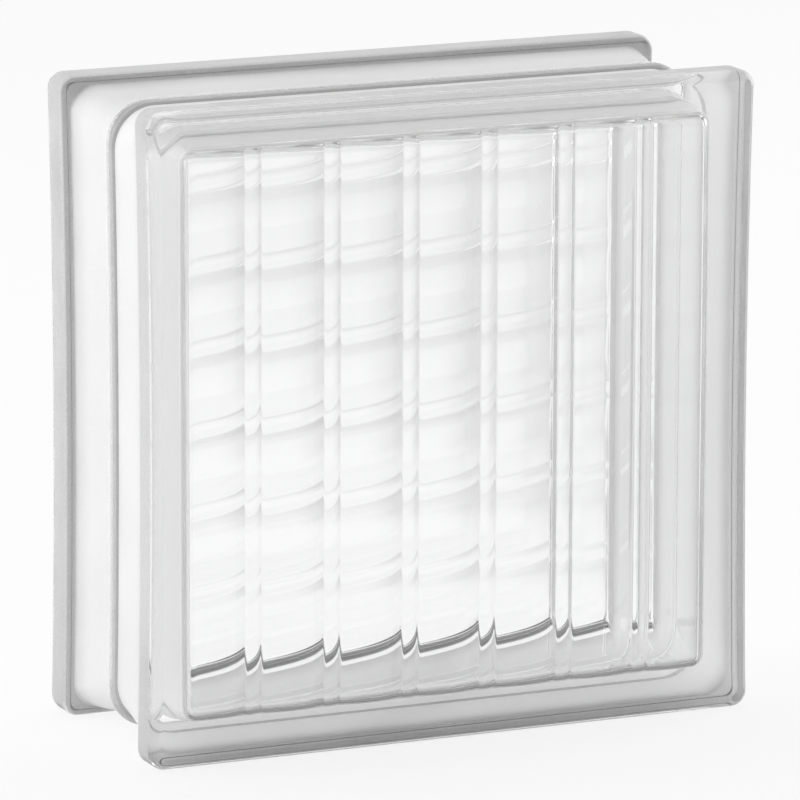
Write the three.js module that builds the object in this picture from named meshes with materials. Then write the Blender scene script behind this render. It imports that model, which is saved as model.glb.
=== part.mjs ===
// Hollow glass block, 190 x 190 x 80 mm, in millimetres, +Z up.
//
// The block is two pressed glass cups fused rim to rim. Both cups come from one mould: a flat face with a
// rounded flange round it, side walls drawn in behind the flange so that two blocks leave a channel for mortar
// between them, and reeds pressed into the inner side of the face. The rear cup is the front one turned half a
// turn about the face's diagonal, so that its reeds lie across those of the front.
//
// Frame: X along the width, Y through the block with the front face at -Y, Z up. The origin is under the
// middle of the block, on the level that it stands on.

import * as THREE from 'three';

// Overall size.
const FACE_SIZE = 190;
const BLOCK_DEPTH = 80;

// Flange round each face, measured from the face along the depth, and its rounded edges.
const FLANGE_WIDTH = 12.3;
const FACE_EDGE_ROUND = 3;
const SHOULDER_ROUND = 2;
const FLANGE_CORNER_RADIUS = 5;

// Mortar channel. Drops are measured inwards from the flange's outer edge.
const CHANNEL_FOOT_DROP = 3;
const CHANNEL_FOOT_FILLET = 1.2;
const CHANNEL_FOOT_CORNER_RADIUS = 8;
const CHANNEL_SEAM_DROP = 4.55;
const CHANNEL_SEAM_CORNER_RADIUS = 12.5;

// Half-round beads of glass that the fused rims push out and in.
const OUTER_BEAD_HEIGHT = 1.6;
const OUTER_BEAD_HALF_WIDTH = 1.9;
const INNER_BEAD_HEIGHT = 0.9;
const INNER_BEAD_HALF_WIDTH = 1.6;

// Cavity of one cup: side walls with draft whose corners open out to the seam, a fillet, and the face plate.
const FACE_PLATE_THICKNESS = 8;
const CAVITY_INSET_AT_PLATE = 12;
const CAVITY_INSET_AT_SEAM = 8.5;
const CAVITY_CORNER_RADIUS_AT_PLATE = 4.3;
const CAVITY_CORNER_RADIUS_AT_SEAM = 11.5;
const CAVITY_FILLET = 3.9;
const CAVITY_WALL_START = 3;

// Reeds: wide concave flutes, with a narrow groove between two round ridges where flutes meet.
const FLUTE_PITCH = 24.5;
const FLUTE_RADIUS = 29;
const RIDGE_RADIUS = 1.1;
const GROOVE_RADIUS = 6;
const GROOVE_HALF_WIDTH = 2.15;

// Steps along the curves.
const CORNER_STEPS = 8;
const EDGE_STEPS = 5;
const FOOT_STEPS = 3;
const FLOOR_STEPS = 4;
const WALL_STEPS = 4;
const FILLET_STEPS = 4;
const BEAD_STEPS = 5;
const FLUTE_STEPS = 8;
const RIDGE_STEPS = 3;
const GROOVE_STEPS = 4;
const CLOSEST_COLUMN = 0.2;

const HALF_SIZE = FACE_SIZE / 2;
const HALF_DEPTH = BLOCK_DEPTH / 2;
const QUARTER_TURN = Math.PI / 2;

const glass = new THREE.MeshStandardMaterial({
  color: 0xe9efed,
  roughness: 0.05,
  metalness: 0,
  transparent: true,
  opacity: 0.35,
});

// Reed profile over half a pitch, from the middle of a groove (0) to the middle of a flute (pitch / 2).
// Three arcs meet at a shared slope: groove (concave), ridge (convex), flute (concave).
const grooveAngle = Math.asin(GROOVE_HALF_WIDTH / GROOVE_RADIUS);
const ridgeCentre = GROOVE_HALF_WIDTH + RIDGE_RADIUS * Math.sin(grooveAngle);
const fluteHalfSpan = FLUTE_PITCH / 2 - ridgeCentre;
const fluteAngle = Math.asin(fluteHalfSpan / (FLUTE_RADIUS + RIDGE_RADIUS));
const grooveCentreHeight = GROOVE_RADIUS * Math.cos(grooveAngle) - RIDGE_RADIUS * (1 - Math.cos(grooveAngle));
const fluteCentreHeight = FLUTE_RADIUS * Math.cos(fluteAngle) - RIDGE_RADIUS * (1 - Math.cos(fluteAngle));

// Distance from x to the middle of the nearest groove. A flute is centred on the block, so grooves lie at
// odd multiples of half the pitch.
function offsetFromGroove(x) {
  const fromFlute = x - FLUTE_PITCH * Math.round(x / FLUTE_PITCH);
  return FLUTE_PITCH / 2 - Math.abs(fromFlute);
}

// Depth of the reeded surface below the ridge crests.
function reedDepth(x) {
  const offset = offsetFromGroove(x);
  if (offset < GROOVE_HALF_WIDTH) {
    return Math.sqrt(GROOVE_RADIUS ** 2 - offset ** 2) - grooveCentreHeight;
  }
  const fromFlute = FLUTE_PITCH / 2 - offset;
  if (fromFlute < FLUTE_RADIUS * Math.sin(fluteAngle)) {
    return Math.sqrt(FLUTE_RADIUS ** 2 - fromFlute ** 2) - fluteCentreHeight;
  }
  return RIDGE_RADIUS - Math.sqrt(Math.max(0, RIDGE_RADIUS ** 2 - (offset - ridgeCentre) ** 2));
}

// Places across one pitch, measured from a groove's middle, where the reed profile gets a vertex.
function reedStations() {
  const stations = [];
  for (let step = 0; step < GROOVE_STEPS; step += 1) {
    const angle = grooveAngle * (2 * step / GROOVE_STEPS - 1);
    stations.push(GROOVE_RADIUS * Math.sin(angle));
  }
  for (let step = 0; step < RIDGE_STEPS; step += 1) {
    const angle = -grooveAngle + (grooveAngle + fluteAngle) * step / RIDGE_STEPS;
    stations.push(ridgeCentre + RIDGE_RADIUS * Math.sin(angle));
  }
  for (let step = 0; step < FLUTE_STEPS; step += 1) {
    const angle = fluteAngle * (2 * step / FLUTE_STEPS - 1);
    stations.push(FLUTE_PITCH / 2 + FLUTE_RADIUS * Math.sin(angle));
  }
  for (let step = 0; step < RIDGE_STEPS; step += 1) {
    const angle = -fluteAngle + (grooveAngle + fluteAngle) * step / RIDGE_STEPS;
    stations.push(FLUTE_PITCH - ridgeCentre + RIDGE_RADIUS * Math.sin(angle));
  }
  return stations;
}

// Vertex places along the straight part of the cavity's upper and lower walls, from -reach to reach.
function reedColumns(reach) {
  const columns = [];
  const first = -Math.ceil(reach / FLUTE_PITCH) - 1;
  for (let pitch = first; pitch <= -first; pitch += 1) {
    const groove = (pitch + 0.5) * FLUTE_PITCH;
    for (const station of reedStations()) {
      const x = groove + station;
      if (Math.abs(x) < reach - CLOSEST_COLUMN) {
        columns.push(x);
      }
    }
  }
  return columns;
}

// Points of an arc that starts at an angle and turns by another, with its two ends.
function arcPoints(x, y, radius, start, turn, steps) {
  return new THREE.EllipseCurve(x, y, radius, radius, start, start + turn, turn < 0).getPoints(steps);
}

// A square ring with round corners, inset from the block's edge, as [x, z] pairs counter-clockwise seen from
// the front, starting at the lower left. Columns are extra places along the lower and upper sides.
function squareRing(inset, cornerRadius, columns = []) {
  const half = HALF_SIZE - inset;
  const centre = half - cornerRadius;
  const points = [];
  const corners = [
    { x: -centre, z: -centre, start: 2 * QUARTER_TURN, side: columns },
    { x: centre, z: -centre, start: 3 * QUARTER_TURN, side: [] },
    { x: centre, z: centre, start: 0, side: [...columns].reverse() },
    { x: -centre, z: centre, start: QUARTER_TURN, side: [] },
  ];
  for (const corner of corners) {
    for (const point of arcPoints(corner.x, corner.z, cornerRadius, corner.start, QUARTER_TURN, CORNER_STEPS)) {
      points.push([point.x, point.y]);
    }
    const z = Math.sign(corner.z) * half;
    for (const x of corner.side) {
      points.push([x, z]);
    }
  }
  return points;
}

// Collects vertices and triangles of one closed skin.
class Skin {
  constructor() {
    this.positions = [];
    this.triangles = [];
  }

  vertex(x, y, z) {
    this.positions.push(x, y, z);
    return this.positions.length / 3 - 1;
  }

  // Adds a ring whose depth is a number or a function of x and z.
  ring(points, depth) {
    return points.map(([x, z]) => this.vertex(x, typeof depth === 'function' ? depth(x, z) : depth, z));
  }

  // Joins two rings by a band of triangles that faces away from the axis when ringB lies nearer the rear. The
  // rings may have different counts: each step moves on along the ring that has turned less so far.
  band(ringA, ringB) {
    const turnA = this.turnsAlong(ringA);
    const turnB = this.turnsAlong(ringB);
    let a = 0;
    let b = 0;
    while (a < ringA.length || b < ringB.length) {
      const currentA = ringA[a % ringA.length];
      const currentB = ringB[b % ringB.length];
      if (b === ringB.length || (a < ringA.length && turnA[a + 1] <= turnB[b + 1])) {
        a += 1;
        this.triangles.push(currentA, currentB, ringA[a % ringA.length]);
      } else {
        b += 1;
        this.triangles.push(currentB, ringB[b % ringB.length], currentA);
      }
    }
  }

  // Angle turned about the axis from a ring's first vertex to each later one, and back to the first.
  turnsAlong(ring) {
    const angles = [...ring, ring[0]].map((i) => Math.atan2(this.positions[3 * i + 2], this.positions[3 * i]));
    const turns = angles.map((angle) => (angle - angles[0] + 2 * Math.PI) % (2 * Math.PI));
    turns[ring.length] = 2 * Math.PI;
    return turns;
  }

  // Fills a flat ring, with an optional ring as a hole in it. Facing is -1 for a face that looks towards -Y.
  cap(ring, holeRing, facing) {
    const flat = (loop) => loop.map((i) => new THREE.Vector2(this.positions[3 * i], this.positions[3 * i + 2]));
    const holes = holeRing ? [flat(holeRing)] : [];
    const order = holeRing ? [...ring, ...holeRing] : ring;
    for (const [a, b, c] of THREE.ShapeUtils.triangulateShape(flat(ring), holes)) {
      const corners = [order[a], order[b], order[c]];
      const [p, q, r] = corners.map((i) => new THREE.Vector2(this.positions[3 * i], this.positions[3 * i + 2]));
      const turnsLeft = q.clone().sub(p).cross(r.clone().sub(p)) > 0;
      if (turnsLeft === (facing < 0)) {
        this.triangles.push(corners[0], corners[1], corners[2]);
      } else {
        this.triangles.push(corners[0], corners[2], corners[1]);
      }
    }
  }

  geometry() {
    const geometry = new THREE.BufferGeometry();
    geometry.setAttribute('position', new THREE.Float32BufferAttribute(this.positions, 3));
    geometry.setIndex(this.triangles);
    geometry.computeVertexNormals();
    return geometry;
  }
}

// Half-round bead from its foot to the seam, as { depth, rise } stations.
function beadStations(height, halfWidth) {
  const stations = [];
  for (let step = 0; step <= BEAD_STEPS; step += 1) {
    const angle = QUARTER_TURN * step / BEAD_STEPS;
    stations.push({ depth: -halfWidth * Math.cos(angle), rise: height * Math.sin(angle) });
  }
  stations[BEAD_STEPS].depth = 0;
  return stations;
}

// Outer section of a cup from the face to the seam, as { depth, inset, corner } stations.
function outerSection() {
  const face = -HALF_DEPTH;
  const flangeEnd = face + FLANGE_WIDTH;
  const footStart = flangeEnd + CHANNEL_FOOT_FILLET;
  const floorEnd = -OUTER_BEAD_HALF_WIDTH;

  const faceEdge = face + FACE_EDGE_ROUND;
  const shoulderEdge = flangeEnd - SHOULDER_ROUND;
  const footEdge = CHANNEL_FOOT_DROP - CHANNEL_FOOT_FILLET;
  const flange = [
    ...arcPoints(faceEdge, FACE_EDGE_ROUND, FACE_EDGE_ROUND, Math.PI, QUARTER_TURN, EDGE_STEPS),
    ...arcPoints(shoulderEdge, SHOULDER_ROUND, SHOULDER_ROUND, 3 * QUARTER_TURN, QUARTER_TURN, EDGE_STEPS),
  ];
  const foot = arcPoints(footStart, footEdge, CHANNEL_FOOT_FILLET, Math.PI, -QUARTER_TURN, FOOT_STEPS);

  const floorInset = (depth) => {
    const share = (depth - footStart) / (floorEnd - footStart);
    return CHANNEL_FOOT_DROP + (CHANNEL_SEAM_DROP - CHANNEL_FOOT_DROP) * share;
  };
  const cornerAt = (depth) => {
    const share = THREE.MathUtils.smoothstep(depth, footStart, floorEnd);
    return CHANNEL_FOOT_CORNER_RADIUS + (CHANNEL_SEAM_CORNER_RADIUS - CHANNEL_FOOT_CORNER_RADIUS) * share;
  };

  const stations = [];
  for (const point of flange) {
    stations.push({ depth: point.x, inset: point.y, corner: FLANGE_CORNER_RADIUS - point.y });
  }
  const shoulderCorner = FLANGE_CORNER_RADIUS - SHOULDER_ROUND;
  for (const point of foot) {
    const share = (point.y - SHOULDER_ROUND) / (CHANNEL_FOOT_DROP - SHOULDER_ROUND);
    const corner = shoulderCorner + (CHANNEL_FOOT_CORNER_RADIUS - shoulderCorner) * share;
    stations.push({ depth: point.x, inset: point.y, corner });
  }
  for (let step = 1; step < FLOOR_STEPS; step += 1) {
    const depth = footStart + (floorEnd - footStart) * step / FLOOR_STEPS;
    stations.push({ depth, inset: floorInset(depth), corner: cornerAt(depth) });
  }
  for (const { depth, rise } of beadStations(OUTER_BEAD_HEIGHT, OUTER_BEAD_HALF_WIDTH)) {
    stations.push({ depth, inset: CHANNEL_SEAM_DROP - rise, corner: CHANNEL_SEAM_CORNER_RADIUS });
  }
  return stations;
}

// Inset and corner radius of the cavity's side wall at a depth.
function cavityWall(depth) {
  const share = THREE.MathUtils.clamp(1 + depth / (HALF_DEPTH - FACE_PLATE_THICKNESS - CAVITY_FILLET), 0, 1);
  const opening = THREE.MathUtils.smoothstep(share, 0, 1);
  return {
    inset: THREE.MathUtils.lerp(CAVITY_INSET_AT_PLATE, CAVITY_INSET_AT_SEAM, share),
    corner: THREE.MathUtils.lerp(CAVITY_CORNER_RADIUS_AT_PLATE, CAVITY_CORNER_RADIUS_AT_SEAM, opening),
  };
}

// One pressed cup, centred on the block, with its face at -HALF_DEPTH and its rim at depth 0.
function pressedCup() {
  const skin = new Skin();

  const outerRings = outerSection().map(({ depth, inset, corner }) => skin.ring(squareRing(inset, corner), depth));
  skin.cap(outerRings[0], null, -1);
  for (let i = 1; i < outerRings.length; i += 1) {
    skin.band(outerRings[i - 1], outerRings[i]);
  }

  // The reeded plate: strips between a vertex on the lower side and the one above it.
  const plate = -HALF_DEPTH + FACE_PLATE_THICKNESS;
  const cornerCentre = HALF_SIZE - CAVITY_INSET_AT_PLATE - CAVITY_CORNER_RADIUS_AT_PLATE;
  const columns = reedColumns(cornerCentre);
  const filletRings = [];
  for (let step = 0; step <= FILLET_STEPS; step += 1) {
    const angle = QUARTER_TURN * step / FILLET_STEPS;
    const inward = CAVITY_FILLET * (1 - Math.sin(angle));
    const rise = CAVITY_FILLET * (1 - Math.cos(angle));
    const inset = CAVITY_INSET_AT_PLATE + inward;
    const points = squareRing(inset, CAVITY_CORNER_RADIUS_AT_PLATE - inward, columns);
    filletRings.push(skin.ring(points, (x) => plate - reedDepth(x) + rise));
  }
  const lower = filletRings[0].slice(0, filletRings[0].length / 2);
  const upper = filletRings[0].slice(filletRings[0].length / 2).reverse();
  for (let i = 1; i < lower.length; i += 1) {
    skin.triangles.push(lower[i - 1], upper[i - 1], lower[i]);
    skin.triangles.push(lower[i], upper[i - 1], upper[i]);
  }
  for (let i = 1; i < filletRings.length; i += 1) {
    skin.band(filletRings[i], filletRings[i - 1]);
  }

  // Side walls up to the rim, with the inner bead.
  const wallStart = plate + CAVITY_FILLET + CAVITY_WALL_START;
  const wallStations = [];
  for (let step = 0; step < WALL_STEPS; step += 1) {
    wallStations.push({ depth: wallStart + (-INNER_BEAD_HALF_WIDTH - wallStart) * step / WALL_STEPS, rise: 0 });
  }
  wallStations.push(...beadStations(INNER_BEAD_HEIGHT, INNER_BEAD_HALF_WIDTH));
  let previous = filletRings[filletRings.length - 1];
  for (const { depth, rise } of wallStations) {
    const { inset, corner } = cavityWall(depth);
    const ring = skin.ring(squareRing(inset + rise, corner), depth);
    skin.band(ring, previous);
    previous = ring;
  }

  skin.cap(outerRings[outerRings.length - 1], previous, 1);
  return skin.geometry();
}

const block = new THREE.Group();
const cup = pressedCup();

const frontHalf = new THREE.Mesh(cup, glass);
frontHalf.name = 'front_half';
frontHalf.position.set(0, 0, HALF_SIZE);
block.add(frontHalf);

const rearHalf = new THREE.Mesh(cup, glass);
rearHalf.name = 'rear_half';
rearHalf.position.set(0, 0, HALF_SIZE);
rearHalf.quaternion.setFromAxisAngle(new THREE.Vector3(1, 0, 1).normalize(), Math.PI);
block.add(rearHalf);

export default block;
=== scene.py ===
import math

import bmesh
import bpy
from mathutils import Matrix, Vector


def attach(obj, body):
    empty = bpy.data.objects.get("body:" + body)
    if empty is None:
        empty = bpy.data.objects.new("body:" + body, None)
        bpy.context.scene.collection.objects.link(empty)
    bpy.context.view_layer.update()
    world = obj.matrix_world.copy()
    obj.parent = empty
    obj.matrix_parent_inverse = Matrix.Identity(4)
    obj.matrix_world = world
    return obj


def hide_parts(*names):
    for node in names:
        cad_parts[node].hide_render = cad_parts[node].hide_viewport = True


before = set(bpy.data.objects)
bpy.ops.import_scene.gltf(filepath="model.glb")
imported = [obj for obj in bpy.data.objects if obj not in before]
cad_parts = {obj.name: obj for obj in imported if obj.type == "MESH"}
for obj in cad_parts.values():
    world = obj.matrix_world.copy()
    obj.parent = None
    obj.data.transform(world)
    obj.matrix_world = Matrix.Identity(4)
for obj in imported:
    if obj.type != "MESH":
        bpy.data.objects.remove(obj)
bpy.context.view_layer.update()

MM = 0.001
QUARTER = math.pi / 2

# The block, in millimetres. Depths run from the seam: the front face is at -HALF_DEPTH.
HALF_SIZE = 95.0
HALF_DEPTH = 40.0

# Flange round each face, with its rounded edges and corners.
FLANGE_WIDTH = 12.3
FACE_EDGE_ROUND = 3.0
SHOULDER_ROUND = 2.0
FLANGE_CORNER = 5.0

# Mortar channel. Drops are measured inwards from the flange. The left and right sides bow in at mid height.
FOOT_DROP = 3.0
FOOT_FILLET = 1.2
FOOT_CORNER = 8.0
SEAM_DROP = 4.55
SEAM_CORNER = 12.5
BEAD_HEIGHT = 1.6
BEAD_HALF_WIDTH = 1.9
SIDE_BOW = 1.2

# Cavity of one cup. Insets are measured inwards from the flange.
PLATE_THICKNESS = 8.0
WALL_INSET_AT_PLATE = 12.0
WALL_INSET_AT_SEAM = 8.0
CORNER_AT_PLATE = 4.3
CORNER_AT_SEAM = 11.5
CAVITY_FILLET = 3.9
INNER_BEAD_HEIGHT = 1.6
INNER_BEAD_HALF_WIDTH = 2.2

# Reeds: wide hollow flutes, with a narrow groove between two round ridges where flutes meet.
FLUTE_PITCH = 24.5
FLUTE_RADIUS = 29.0
RIDGE_RADIUS = 1.1
GROOVE_RADIUS = 6.0
GROOVE_HALF_WIDTH = 2.15

# Steps along the curves, and cuts across the straight sides.
CORNER_STEPS = 16
EDGE_STEPS = 8
FOOT_STEPS = 6
CHANNEL_STEPS = 10
BEAD_STEPS = 10
FILLET_STEPS = 10
WALL_STEPS = 8
SIDE_CUTS = 19
REED_CUTS = 599

# A narrow band beside each round keeps the flat next to it flat in smooth shading. One beside a bead keeps its
# crease sharp.
SUPPORT = 0.3
CREASE = 0.1
WELD_DISTANCE = 0.001
TOLERANCE = 0.0001

# Finishes, as material slots of the block. The coat starts just behind the face's rounded edge. It is thinner on
# the flange and on the bead of the seam, whose crest is bare. At the foot of the shoulder and in the creases beside
# the bead a darker grey coat is painted shade.
CLEAR, FLANGE, CHANNEL, SHADED_CREASE = 0, 1, 2, 3
FLANGE_START = -HALF_DEPTH + FACE_EDGE_ROUND + 0.1
FOOT_START = -HALF_DEPTH + FLANGE_WIDTH - 0.4
CHANNEL_START = -HALF_DEPTH + FLANGE_WIDTH + 0.7
CREASE_BESIDE_BEAD = -BEAD_HALF_WIDTH - 0.5 * CREASE
CREASE_AT_BEAD = -BEAD_HALF_WIDTH + 0.3
BARE_CREST = -0.7

# Each finish: its darkest and lightest colour, its least and greatest roughness, the scale of its waves and grain per
# metre, the grain's share of its relief, and the relief in metres. Of a coat also: the share of clear glass, the
# brightness of the light let through, and how much is let through as seen from outside and from within.
CLEAR_GLASS = (((0.98, 0.982, 0.982), (0.993, 0.995, 0.994)), (0.0, 0.012), 50.0, 900.0, 0.02, 7e-6)
FLANGE_COAT = (((0.66, 0.66, 0.66), (0.84, 0.84, 0.84)), (0.28, 0.5), 60.0, 1700.0, 0.6, 1.5e-5)
CHANNEL_COAT = (((0.93, 0.93, 0.93), (0.985, 0.985, 0.985)), (0.42, 0.6), 45.0, 1300.0, 0.4, 1.5e-5)
# The crease finish's darker grey is painted shade at the foot of the shoulder and beside the bead.
CREASE_SHADE_COAT = (((0.48, 0.48, 0.48), (0.62, 0.62, 0.62)), (0.3, 0.5), 60.0, 1700.0, 0.6, 1.5e-5)
FLANGE_LIGHT = (0.45, 0.76, 0.12, 0.12)
CHANNEL_LIGHT = (0.05, 0.97, 0.15, 0.52)
CREASE_SHADE_LIGHT = (0.3, 0.97, 0.12, 0.35)
GLASS_IOR = 1.52

# Waves and grain: the detail of their noise, the part of its range that becomes 0 to 1, and their shares of the tone.
WAVE_DETAIL = 2.0
GRAIN_DETAIL = 3.0
NOISE_LOW = 0.3
NOISE_HIGH = 0.7
WAVES_IN_TONE = 0.4
GRAIN_IN_TONE = 0.6

# The channel's coat turns darker and lets less light through towards the flange, between these distances from the
# seam, in metres.
COAT_FADE = (0.0155, 0.0275)
COLOUR_AT_FLANGE = 0.84
THROUGH_AT_FLANGE = 0.58

# Camera: yaw is measured from the front face's normal, towards the block's left side. It looks at the block's
# centre, moved by CAMERA_RIGHT and CAMERA_UP. Lengths are in millimetres, but the clip distances are in metres.
CAMERA_YAW = math.radians(24.15)
CAMERA_PITCH = math.radians(12.27)
CAMERA_ROLL = math.radians(0.18)
CAMERA_DISTANCE = 2135.0
CAMERA_RIGHT = -0.09
CAMERA_UP = -2.5
CAMERA_LENS = 329.5
CAMERA_SENSOR = 36.0
CAMERA_CLIP = (0.05, 60.0)

# Floor, in metres. To the camera and through glass part of it glows. Through glass its glow is painted light that
# dims with distance and towards the right and is bright again at the far right, with painted shadows beside the
# flanges, where the block's own shadow falls.
# Each dimming: where it starts and ends, and the share of light at the start and the end. The bearing that the last
# two go by is the distance to the right over the distance to the back. Each shadow: its front, its back, its depth.
FLOOR_REACH = 20.0
FLOOR_COLOUR = 0.92
FLOOR_GLOW = 0.85
DIM_WITH_DISTANCE = (0.2, 1.5, 1.0, 0.93)
DIM_TO_RIGHT = (0.28, 0.82, 1.0, 0.77)
REGAIN_FAR_RIGHT = (0.98, 1.2, 1.0, 1.3)
LEAST_DISTANCE = 0.3
FRONT_SHADOW = (-0.038, -0.027, 0.7)
REAR_SHADOW = (0.0345, 0.0395, 1.0)
SHADOW_SOFTNESS = 0.002

# Brightness of the room by how far a direction points to the back: where it starts and stops to rise, and from what
# to what.
ROOM_RISE = (-0.35, 0.45, 0.1, 0.9)

# Soft lamps: name, place and size in metres, and radiance. They face the block's centre.
LAMPS = (
    ("left_softbox", (-1.4, 0.5, 0.6), 1.5, 2.2),
    ("right_softbox", (1.6, 0.15, 0.6), 1.3, 2.6),
    ("top_softbox", (0.0, 0.3, 1.8), 1.4, 0.8),
)

# Light passes many surfaces on its way through both cups.
GLASS_BOUNCES = 32
DIFFUSE_BOUNCES = 12

# Reed profile from the middle of a groove to the middle of a flute: three arcs that share a slope where they meet.
groove_angle = math.asin(GROOVE_HALF_WIDTH / GROOVE_RADIUS)
ridge_centre = GROOVE_HALF_WIDTH + RIDGE_RADIUS * math.sin(groove_angle)
flute_angle = math.asin((FLUTE_PITCH / 2 - ridge_centre) / (FLUTE_RADIUS + RIDGE_RADIUS))
flute_half_width = FLUTE_RADIUS * math.sin(flute_angle)
groove_rise = GROOVE_RADIUS * math.cos(groove_angle) - RIDGE_RADIUS * (1 - math.cos(groove_angle))
flute_rise = FLUTE_RADIUS * math.cos(flute_angle) - RIDGE_RADIUS * (1 - math.cos(flute_angle))


def reed_depth(x):
    """Depth of the reeded surface below its ridge crests. A flute is centred on x = 0."""
    from_flute = abs(x - FLUTE_PITCH * round(x / FLUTE_PITCH))
    offset = FLUTE_PITCH / 2 - from_flute
    if offset < GROOVE_HALF_WIDTH:
        return math.sqrt(GROOVE_RADIUS**2 - offset**2) - groove_rise
    if from_flute < flute_half_width:
        return math.sqrt(FLUTE_RADIUS**2 - from_flute**2) - flute_rise
    return RIDGE_RADIUS - math.sqrt(max(0.0, RIDGE_RADIUS**2 - (offset - ridge_centre) ** 2))


def smoothstep(value, low, high):
    """Smooth rise from 0 at low to 1 at high."""
    share = min(1.0, max(0.0, (value - low) / (high - low)))
    return share * share * (3 - 2 * share)


def arc(depth, inset, radius, start, turn, steps):
    """Depth and inset along an arc of the section, with both ends."""
    angles = [start + turn * step / steps for step in range(steps + 1)]
    return [(depth + radius * math.cos(a), inset + radius * math.sin(a)) for a in angles]


def bead(height, half_width):
    """Half-round bead from its foot to the seam, as (depth, height)."""
    angles = [QUARTER * step / BEAD_STEPS for step in range(BEAD_STEPS + 1)]
    return [(-half_width * math.cos(a), height * math.sin(a)) for a in angles]


class Ring:
    """A square ring with round corners, grown section by section into a skin."""

    def __init__(self, bm, inset, corner, cuts, columns_only):
        """Starts at an inset from the flange. columns_only leaves the left and right sides uncut."""
        self.bm = bm
        self.half = HALF_SIZE - inset
        self.corner = corner
        upright = Matrix.Rotation(QUARTER, 4, "X") @ Matrix.Rotation(math.pi / 4, 4, "Z")
        bmesh.ops.create_circle(bm, segments=4, radius=self.half * math.sqrt(2), matrix=upright)
        bmesh.ops.bevel(
            bm,
            geom=bm.verts[:] + bm.edges[:],
            offset=corner,
            offset_type="OFFSET",
            affect="VERTICES",
            segments=CORNER_STEPS,
            profile=0.5,
            material=-1,
        )
        sides = [e for e in bm.edges if e.calc_length() > self.half]
        if columns_only:
            sides = [e for e in sides if abs(e.verts[0].co.x - e.verts[1].co.x) > self.half]
        bmesh.ops.subdivide_edges(bm, edges=sides, cuts=cuts)
        self.verts = bm.verts[:]
        self.edges = bm.edges[:]

    def place(self, inset, corner, depth):
        """Moves the ring to a section. Depth is a number or a function of a vertex."""
        half = HALF_SIZE - inset
        old, new = self.half - self.corner, half - corner
        for v in self.verts:
            for axis in (0, 2):
                value = v.co[axis]
                core = max(-old, min(old, value))
                v.co[axis] = core * new / old + (value - core) * corner / self.corner
        self.half, self.corner = half, corner
        for v in self.verts:
            v.co.y = depth(v) if callable(depth) else depth

    def extend(self, inset, corner, depth, finish=CLEAR):
        """Grows a band of faces from the ring to the next section."""
        grown = bmesh.ops.extrude_edge_only(self.bm, edges=self.edges)["geom"]
        for face in (g for g in grown if isinstance(g, bmesh.types.BMFace)):
            face.material_index = finish
        self.verts = [g for g in grown if isinstance(g, bmesh.types.BMVert)]
        inside = set(self.verts)
        self.edges = [g for g in grown if isinstance(g, bmesh.types.BMEdge) and set(g.verts) <= inside]
        self.place(inset, corner, depth)


def outer_section():
    """Sections of a cup's outside from the face's flat to the seam, as (depth, inset, corner)."""
    face = -HALF_DEPTH
    flange_end = face + FLANGE_WIDTH
    foot_start = flange_end + FOOT_FILLET
    channel_end = -BEAD_HALF_WIDTH - CREASE
    points = [(face, FACE_EDGE_ROUND + SUPPORT)]
    points += arc(face + FACE_EDGE_ROUND, FACE_EDGE_ROUND, FACE_EDGE_ROUND, math.pi, QUARTER, EDGE_STEPS)
    points += [(face + FACE_EDGE_ROUND + SUPPORT, 0.0), (flange_end - SHOULDER_ROUND - SUPPORT, 0.0)]
    points += arc(flange_end - SHOULDER_ROUND, SHOULDER_ROUND, SHOULDER_ROUND, 3 * QUARTER, QUARTER, EDGE_STEPS)
    sections = [(depth, inset, FLANGE_CORNER - inset) for depth, inset in points]
    shoulder_corner = sections[-1][2]
    for depth, inset in arc(foot_start, FOOT_DROP - FOOT_FILLET, FOOT_FILLET, math.pi, -QUARTER, FOOT_STEPS):
        share = (inset - SHOULDER_ROUND) / (FOOT_DROP - SHOULDER_ROUND)
        sections.append((depth, inset, shoulder_corner + (FOOT_CORNER - shoulder_corner) * share))
    for step in range(1, CHANNEL_STEPS + 1):
        depth = foot_start + (channel_end - foot_start) * step / CHANNEL_STEPS
        inset = FOOT_DROP + (SEAM_DROP - FOOT_DROP) * step / CHANNEL_STEPS
        corner = FOOT_CORNER + (SEAM_CORNER - FOOT_CORNER) * smoothstep(depth, foot_start, channel_end)
        sections.append((depth, inset, corner))
    sections += [(depth, SEAM_DROP - rise, SEAM_CORNER) for depth, rise in bead(BEAD_HEIGHT, BEAD_HALF_WIDTH)]
    return sections


def finish_at(depth):
    """The finish of the band of the outside that ends at a depth."""
    if depth < FLANGE_START or depth > BARE_CREST:
        return CLEAR
    # Painted shade: the foot of the shoulder and the creases beside the bead get the darker crease coat.
    if FOOT_START < depth < CHANNEL_START or CREASE_BESIDE_BEAD < depth < CREASE_AT_BEAD:
        return SHADED_CREASE
    return CHANNEL if CHANNEL_START <= depth < -BEAD_HALF_WIDTH else FLANGE


def outside_of_cup():
    """The outside of one cup, open at the seam."""
    bm = bmesh.new()
    sections = outer_section()
    depth, inset, corner = sections[0]
    ring = Ring(bm, inset, corner, SIDE_CUTS, False)
    ring.place(inset, corner, depth)
    bmesh.ops.edgeloop_fill(bm, edges=ring.edges)
    for depth, inset, corner in sections[1:]:
        ring.extend(inset, corner, depth, finish_at(depth))
    return bm


def wall_section(depth):
    """Inset and corner of the cavity's wall at a depth. The wall has draft and its corners open out to the seam."""
    wall_top = -HALF_DEPTH + PLATE_THICKNESS + CAVITY_FILLET + SUPPORT
    share = max(0.0, (depth - wall_top) / -wall_top)
    inset = WALL_INSET_AT_PLATE + (WALL_INSET_AT_SEAM - WALL_INSET_AT_PLATE) * share
    corner = CORNER_AT_PLATE + (CORNER_AT_SEAM - CORNER_AT_PLATE) * smoothstep(share, 0.0, 1.0)
    return inset, corner


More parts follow.
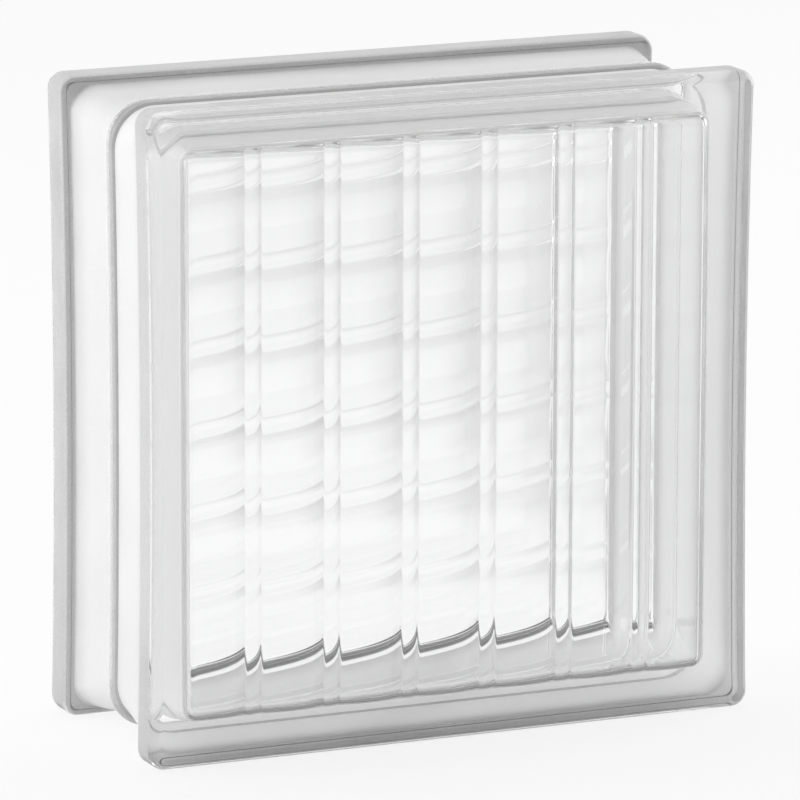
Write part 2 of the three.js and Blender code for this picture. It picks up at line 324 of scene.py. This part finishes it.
def inside_of_cup():
    """The reeded plate and side walls of one cup's cavity, open at the seam."""
    bm = bmesh.new()
    plate = -HALF_DEPTH + PLATE_THICKNESS

    def reeded(rise):
        return lambda v: plate - reed_depth(v.co.x) + rise

    flat_inset = WALL_INSET_AT_PLATE + CAVITY_FILLET + SUPPORT
    flat_corner = CORNER_AT_PLATE - CAVITY_FILLET
    ring = Ring(bm, flat_inset, flat_corner, REED_CUTS, True)
    ring.place(flat_inset, flat_corner, reeded(0.0))
    upright = [e for e in ring.edges if abs(e.verts[0].co.z - e.verts[1].co.z) > ring.half]
    bmesh.ops.bridge_loops(bm, edges=[e for e in ring.edges if e not in upright])

    for step in range(FILLET_STEPS + 1):
        angle = QUARTER * step / FILLET_STEPS
        inward = CAVITY_FILLET * (1 - math.sin(angle))
        rise = CAVITY_FILLET * (1 - math.cos(angle))
        ring.extend(WALL_INSET_AT_PLATE + inward, CORNER_AT_PLATE - inward, reeded(rise))
    lift = CAVITY_FILLET + SUPPORT
    ring.extend(WALL_INSET_AT_PLATE, CORNER_AT_PLATE, reeded(lift))

    # The reeds end here, so the straight sides of the walls need none of their vertices.
    wall_start = plate + lift + SUPPORT
    ring.extend(*wall_section(wall_start), wall_start)
    straight = ring.half - ring.corner - TOLERANCE
    bmesh.ops.dissolve_verts(bm, verts=[v for v in ring.verts if abs(v.co.x) < straight and abs(v.co.z) > straight])
    ring.verts = [v for v in bm.verts if v.is_boundary]
    ring.edges = [e for e in bm.edges if e.is_boundary]

    wall_end = -INNER_BEAD_HALF_WIDTH - CREASE
    for step in range(1, WALL_STEPS + 1):
        depth = wall_start + (wall_end - wall_start) * step / WALL_STEPS
        ring.extend(*wall_section(depth), depth)
    for depth, rise in bead(INNER_BEAD_HEIGHT, INNER_BEAD_HALF_WIDTH):
        inset, corner = wall_section(depth)
        ring.extend(inset + rise, corner, depth)
    return bm


def fuse(bm):
    """Adds the other cup, turned half a turn about the face's diagonal, and welds the seam."""
    half_turn = Matrix.Rotation(math.pi, 3, Vector((1, 0, 1)).normalized())
    other = bmesh.ops.duplicate(bm, geom=bm.verts[:] + bm.edges[:] + bm.faces[:])["geom"]
    other_verts = [g for g in other if isinstance(g, bmesh.types.BMVert)]
    bmesh.ops.rotate(bm, verts=other_verts, cent=(0, 0, 0), matrix=half_turn)
    bmesh.ops.remove_doubles(bm, verts=bm.verts[:], dist=WELD_DISTANCE)


def add_object(name, data):
    """Puts a new object with its data into the scene."""
    added = bpy.data.objects.new(name, data)
    bpy.context.scene.collection.objects.link(added)
    return added


def glass_block():
    """Both cups as one piece of glass: the outer skin, and the cavity's skin turned to face into the cavity."""
    outside = outside_of_cup()
    fuse(outside)
    for v in outside.verts:
        v.co.x *= 1 - SIDE_BOW / HALF_SIZE * (1 - (v.co.z / HALF_SIZE) ** 2)
    bmesh.ops.recalc_face_normals(outside, faces=outside.faces[:])

    inside = inside_of_cup()
    fuse(inside)
    bmesh.ops.recalc_face_normals(inside, faces=inside.faces[:])
    bmesh.ops.reverse_faces(inside, faces=inside.faces[:])

    mesh = bpy.data.meshes.new("glass_block")
    inside.to_mesh(mesh)
    inside.free()
    outside.from_mesh(mesh)
    bmesh.ops.translate(outside, verts=outside.verts[:], vec=(0, 0, HALF_SIZE))
    bmesh.ops.scale(outside, verts=outside.verts[:], vec=(MM, MM, MM))
    for face in outside.faces:
        face.smooth = True
    outside.to_mesh(mesh)
    outside.free()
    return add_object("glass_block", mesh)


def math_node(tree, operation, *values):
    """The output of a Math node. Each value is a number or a socket."""
    node = tree.nodes.new("ShaderNodeMath")
    node.operation = operation
    for socket, value in zip(node.inputs, values):
        if isinstance(value, (int, float)):
            socket.default_value = value
        else:
            tree.links.new(value, socket)
    return node.outputs["Value"]


def smooth_range(tree, value, low, high, at_low, at_high):
    """A value that passes smoothly from at_low to at_high while another rises from low to high."""
    node = tree.nodes.new("ShaderNodeMapRange")
    node.interpolation_type = "SMOOTHSTEP"
    tree.links.new(value, node.inputs["Value"])
    for name, number in (("From Min", low), ("From Max", high), ("To Min", at_low), ("To Max", at_high)):
        node.inputs[name].default_value = number
    return node.outputs["Result"]


def axes_of(tree, coordinates):
    """The X, Y and Z of one kind of texture coordinates."""
    axes = tree.nodes.new("ShaderNodeSeparateXYZ")
    tree.links.new(tree.nodes.new("ShaderNodeTexCoord").outputs[coordinates], axes.inputs["Vector"])
    return axes.outputs


def mix_to_output(tree, share, first, second):
    """Mixes two shaders by a share and makes them the material's surface."""
    mix = tree.nodes.new("ShaderNodeMixShader")
    tree.links.new(share, mix.inputs["Fac"])
    tree.links.new(first, mix.inputs[1])
    tree.links.new(second, mix.inputs[2])
    tree.links.new(mix.outputs["Shader"], tree.nodes["Material Output"].inputs["Surface"])


def uneven_surface():
    """Node group: slow waves and fine grain over a surface, each from 0 to 1, and the height that they make."""
    group = bpy.data.node_groups.new("uneven_surface", "ShaderNodeTree")
    for name in ("Wave Scale", "Grain Scale", "Grain Share"):
        group.interface.new_socket(name, in_out="INPUT", socket_type="NodeSocketFloat")
    for name in ("Waves", "Grain", "Height"):
        group.interface.new_socket(name, in_out="OUTPUT", socket_type="NodeSocketFloat")
    given = group.nodes.new("NodeGroupInput").outputs
    result = group.nodes.new("NodeGroupOutput").inputs
    place = group.nodes.new("ShaderNodeTexCoord").outputs["Object"]
    masks = {}
    for name, detail in (("Wave", WAVE_DETAIL), ("Grain", GRAIN_DETAIL)):
        noise = group.nodes.new("ShaderNodeTexNoise")
        noise.inputs["Detail"].default_value = detail
        group.links.new(place, noise.inputs["Vector"])
        group.links.new(given[name + " Scale"], noise.inputs["Scale"])
        masks[name] = smooth_range(group, noise.outputs["Fac"], NOISE_LOW, NOISE_HIGH, 0.0, 1.0)
    group.links.new(masks["Wave"], result["Waves"])
    group.links.new(masks["Grain"], result["Grain"])
    grain_height = math_node(group, "MULTIPLY", masks["Grain"], given["Grain Share"])
    group.links.new(math_node(group, "ADD", grain_height, masks["Wave"]), result["Height"])
    return group


def finished_glass(name, surface, colours, roughness, wave_scale, grain_scale, grain_share, relief):
    """A glass material whose colour, roughness and relief follow the waves and grain of its surface."""
    material = bpy.data.materials.new(name)
    material.use_nodes = True
    tree = material.node_tree
    shader = tree.nodes["Principled BSDF"]
    shader.inputs["IOR"].default_value = GLASS_IOR
    shader.inputs["Transmission Weight"].default_value = 1.0
    uneven = tree.nodes.new("ShaderNodeGroup")
    uneven.node_tree = surface
    uneven.inputs["Wave Scale"].default_value = wave_scale
    uneven.inputs["Grain Scale"].default_value = grain_scale
    uneven.inputs["Grain Share"].default_value = grain_share
    tone = tree.nodes.new("ShaderNodeValToRGB")
    for stop, colour in zip(tone.color_ramp.elements, colours):
        stop.color = (*colour, 1.0)
    waves = math_node(tree, "MULTIPLY", uneven.outputs["Waves"], WAVES_IN_TONE)
    mixed = math_node(tree, "MULTIPLY_ADD", uneven.outputs["Grain"], GRAIN_IN_TONE, waves)
    tree.links.new(mixed, tone.inputs["Fac"])
    tree.links.new(tone.outputs["Color"], shader.inputs["Base Color"])
    dull = smooth_range(tree, uneven.outputs["Waves"], 0.0, 1.0, *roughness)
    tree.links.new(dull, shader.inputs["Roughness"])
    bump = tree.nodes.new("ShaderNodeBump")
    bump.inputs["Distance"].default_value = relief
    tree.links.new(uneven.outputs["Height"], bump.inputs["Height"])
    tree.links.new(bump.outputs["Normal"], shader.inputs["Normal"])
    return material


def coated_glass(name, surface, finish, glass_share, light_through, through_outside, through_inside):
    """The white coat that the sides carry for the mortar. From within, more of the light outside shows through it."""
    material = finished_glass(name, surface, *finish)
    tree = material.node_tree
    shader = tree.nodes["Principled BSDF"]
    shader.inputs["Transmission Weight"].default_value = glass_share
    through = tree.nodes.new("ShaderNodeBsdfTranslucent")
    through.inputs["Color"].default_value = (light_through, light_through, light_through, 1.0)
    share = tree.nodes.new("ShaderNodeMapRange")
    share.inputs["To Min"].default_value = through_outside
    share.inputs["To Max"].default_value = through_inside
    tree.links.new(tree.nodes.new("ShaderNodeNewGeometry").outputs["Backfacing"], share.inputs["Value"])
    mix_to_output(tree, share.outputs["Result"], shader.outputs["BSDF"], through.outputs["BSDF"])
    return material


def darken_towards_flange(material):
    """Darkens a coat and lets less light through it from the seam towards the flange."""
    tree = material.node_tree
    from_seam = math_node(tree, "ABSOLUTE", axes_of(tree, "Object")["Y"])
    colour = tree.nodes.new("ShaderNodeVectorMath")
    colour.operation = "SCALE"
    base = tree.nodes["Principled BSDF"].inputs["Base Color"]
    tree.links.new(base.links[0].from_socket, colour.inputs["Vector"])
    tree.links.new(smooth_range(tree, from_seam, *COAT_FADE, 1.0, COLOUR_AT_FLANGE), colour.inputs["Scale"])
    tree.links.new(colour.outputs["Vector"], base)
    share = tree.nodes["Mix Shader"].inputs["Fac"]
    left = smooth_range(tree, from_seam, *COAT_FADE, 1.0, THROUGH_AT_FLANGE)
    tree.links.new(math_node(tree, "MULTIPLY", share.links[0].from_socket, left), share)


def finish_block(block):
    """Gives the block its finishes, in the order of their slots."""
    surface = uneven_surface()
    block.data.materials.append(finished_glass("clear_pressed_glass", surface, *CLEAR_GLASS))
    for name, coat, light in (
        ("frosted_flange_glass", FLANGE_COAT, FLANGE_LIGHT),
        ("coated_channel_glass", CHANNEL_COAT, CHANNEL_LIGHT),
        # Painted shade in the creases.
        ("crease_shade_glass", CREASE_SHADE_COAT, CREASE_SHADE_LIGHT),
    ):
        block.data.materials.append(coated_glass(name, surface, coat, *light))
    darken_towards_flange(block.data.materials[CHANNEL])


def add_camera():
    """The scene's camera, in front of the block and to its left, looking down at it."""
    level = math.cos(CAMERA_PITCH)
    forward = Vector((math.sin(CAMERA_YAW) * level, math.cos(CAMERA_YAW) * level, -math.sin(CAMERA_PITCH)))
    right = Vector((math.cos(CAMERA_YAW), -math.sin(CAMERA_YAW), 0.0))
    up = right.cross(forward)
    rolled_right = math.cos(CAMERA_ROLL) * right + math.sin(CAMERA_ROLL) * up
    rolled_up = -math.sin(CAMERA_ROLL) * right + math.cos(CAMERA_ROLL) * up
    place = Vector((0, 0, HALF_SIZE)) - CAMERA_DISTANCE * forward + CAMERA_RIGHT * right + Vector((0, 0, CAMERA_UP))
    basis = Matrix((rolled_right, rolled_up, -forward)).transposed()
    data = bpy.data.cameras.new("camera")
    data.lens = CAMERA_LENS
    data.sensor_width = CAMERA_SENSOR
    data.clip_start, data.clip_end = CAMERA_CLIP
    camera = add_object("camera", data)
    camera.matrix_world = Matrix.Translation(place * MM) @ basis.to_4x4()
    bpy.context.scene.camera = camera


def strip(tree, value, low, high, amount):
    """Amount between low and high, and 0 outside, with soft edges."""
    rise = smooth_range(tree, value, low - SHADOW_SOFTNESS, low, 0.0, amount)
    return math_node(tree, "MULTIPLY", rise, smooth_range(tree, value, high, high + SHADOW_SOFTNESS, 1.0, 0.0))


def floor_material():
    """White paper. To the camera and through glass part of it glows, so that it stays white beside its shadow."""
    material = bpy.data.materials.new("pale_floor")
    material.use_nodes = True
    tree = material.node_tree
    tree.nodes.remove(tree.nodes["Principled BSDF"])
    axes = axes_of(tree, "Object")
    across, depth = axes["X"], axes["Y"]
    # Painted shadow: the glow is taken away in strips beside the flanges.
    shadow = math_node(tree, "MAXIMUM", strip(tree, depth, *FRONT_SHADOW), strip(tree, depth, *REAR_SHADOW))
    shadow = math_node(tree, "MULTIPLY", shadow, strip(tree, across, -HALF_SIZE * MM, HALF_SIZE * MM, 1.0))
    lit = math_node(tree, "SUBTRACT", 1.0, shadow)
    # Painted light: the glow dims with distance and towards the right, and is bright again at the far right.
    bearing = math_node(tree, "DIVIDE", across, math_node(tree, "MAXIMUM", depth, LEAST_DISTANCE))
    dimmed = smooth_range(tree, depth, *DIM_WITH_DISTANCE)
    for dimming in (DIM_TO_RIGHT, REGAIN_FAR_RIGHT):
        dimmed = math_node(tree, "MULTIPLY", dimmed, smooth_range(tree, bearing, *dimming))
    path = tree.nodes.new("ShaderNodeLightPath").outputs
    through = math_node(tree, "MAXIMUM", path["Is Glossy Ray"], path["Is Transmission Ray"])
    seen = math_node(tree, "MAXIMUM", through, path["Is Camera Ray"])
    strength = math_node(tree, "MULTIPLY", dimmed, lit)
    glow = tree.nodes.new("ShaderNodeEmission")
    tree.links.new(math_node(tree, "MAXIMUM", strength, path["Is Camera Ray"]), glow.inputs["Strength"])
    matt = tree.nodes.new("ShaderNodeBsdfDiffuse")
    matt.inputs["Color"].default_value = (FLOOR_COLOUR, FLOOR_COLOUR, FLOOR_COLOUR, 1.0)
    share = math_node(tree, "MULTIPLY", seen, FLOOR_GLOW)
    mix_to_output(tree, share, matt.outputs["BSDF"], glow.outputs["Emission"])
    return material


def add_floor():
    """The floor that the block stands on."""
    mesh = bpy.data.meshes.new("floor")
    bm = bmesh.new()
    bmesh.ops.create_grid(bm, x_segments=1, y_segments=1, size=FLOOR_REACH)
    bm.to_mesh(mesh)
    bm.free()
    mesh.materials.append(floor_material())
    add_object("floor", mesh)


def light_room():
    """A white room, dim in front of the block and bright behind it, and white to the camera."""
    world = bpy.data.worlds.new("studio")
    bpy.context.scene.world = world
    world.use_nodes = True
    tree = world.node_tree
    background = tree.nodes["Background"]
    background.inputs["Color"].default_value = (1.0, 1.0, 1.0, 1.0)
    room = smooth_range(tree, axes_of(tree, "Generated")["Y"], *ROOM_RISE)
    camera_ray = tree.nodes.new("ShaderNodeLightPath").outputs["Is Camera Ray"]
    tree.links.new(math_node(tree, "MAXIMUM", room, camera_ray), background.inputs["Strength"])


def add_lamps():
    """The soft lamps, each turned to the block's centre."""
    centre = Vector((0, 0, HALF_SIZE * MM))
    for name, place, size, radiance in LAMPS:
        lamp = bpy.data.lights.new(name, "AREA")
        lamp.size = size
        lamp.energy = radiance * math.pi * size**2
        holder = add_object(name, lamp)
        holder.location = place
        holder.rotation_euler = (Vector(place) - centre).to_track_quat("Z", "Y").to_euler()


add_camera()

block = glass_block()
finish_block(block)
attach(block, "root")
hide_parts("front_half", "rear_half")

add_floor()
light_room()
add_lamps()

scene = bpy.context.scene
scene.view_settings.view_transform = "Standard"
scene.cycles.max_bounces = GLASS_BOUNCES
scene.cycles.transmission_bounces = GLASS_BOUNCES
scene.cycles.glossy_bounces = GLASS_BOUNCES
scene.cycles.diffuse_bounces = DIFFUSE_BOUNCES
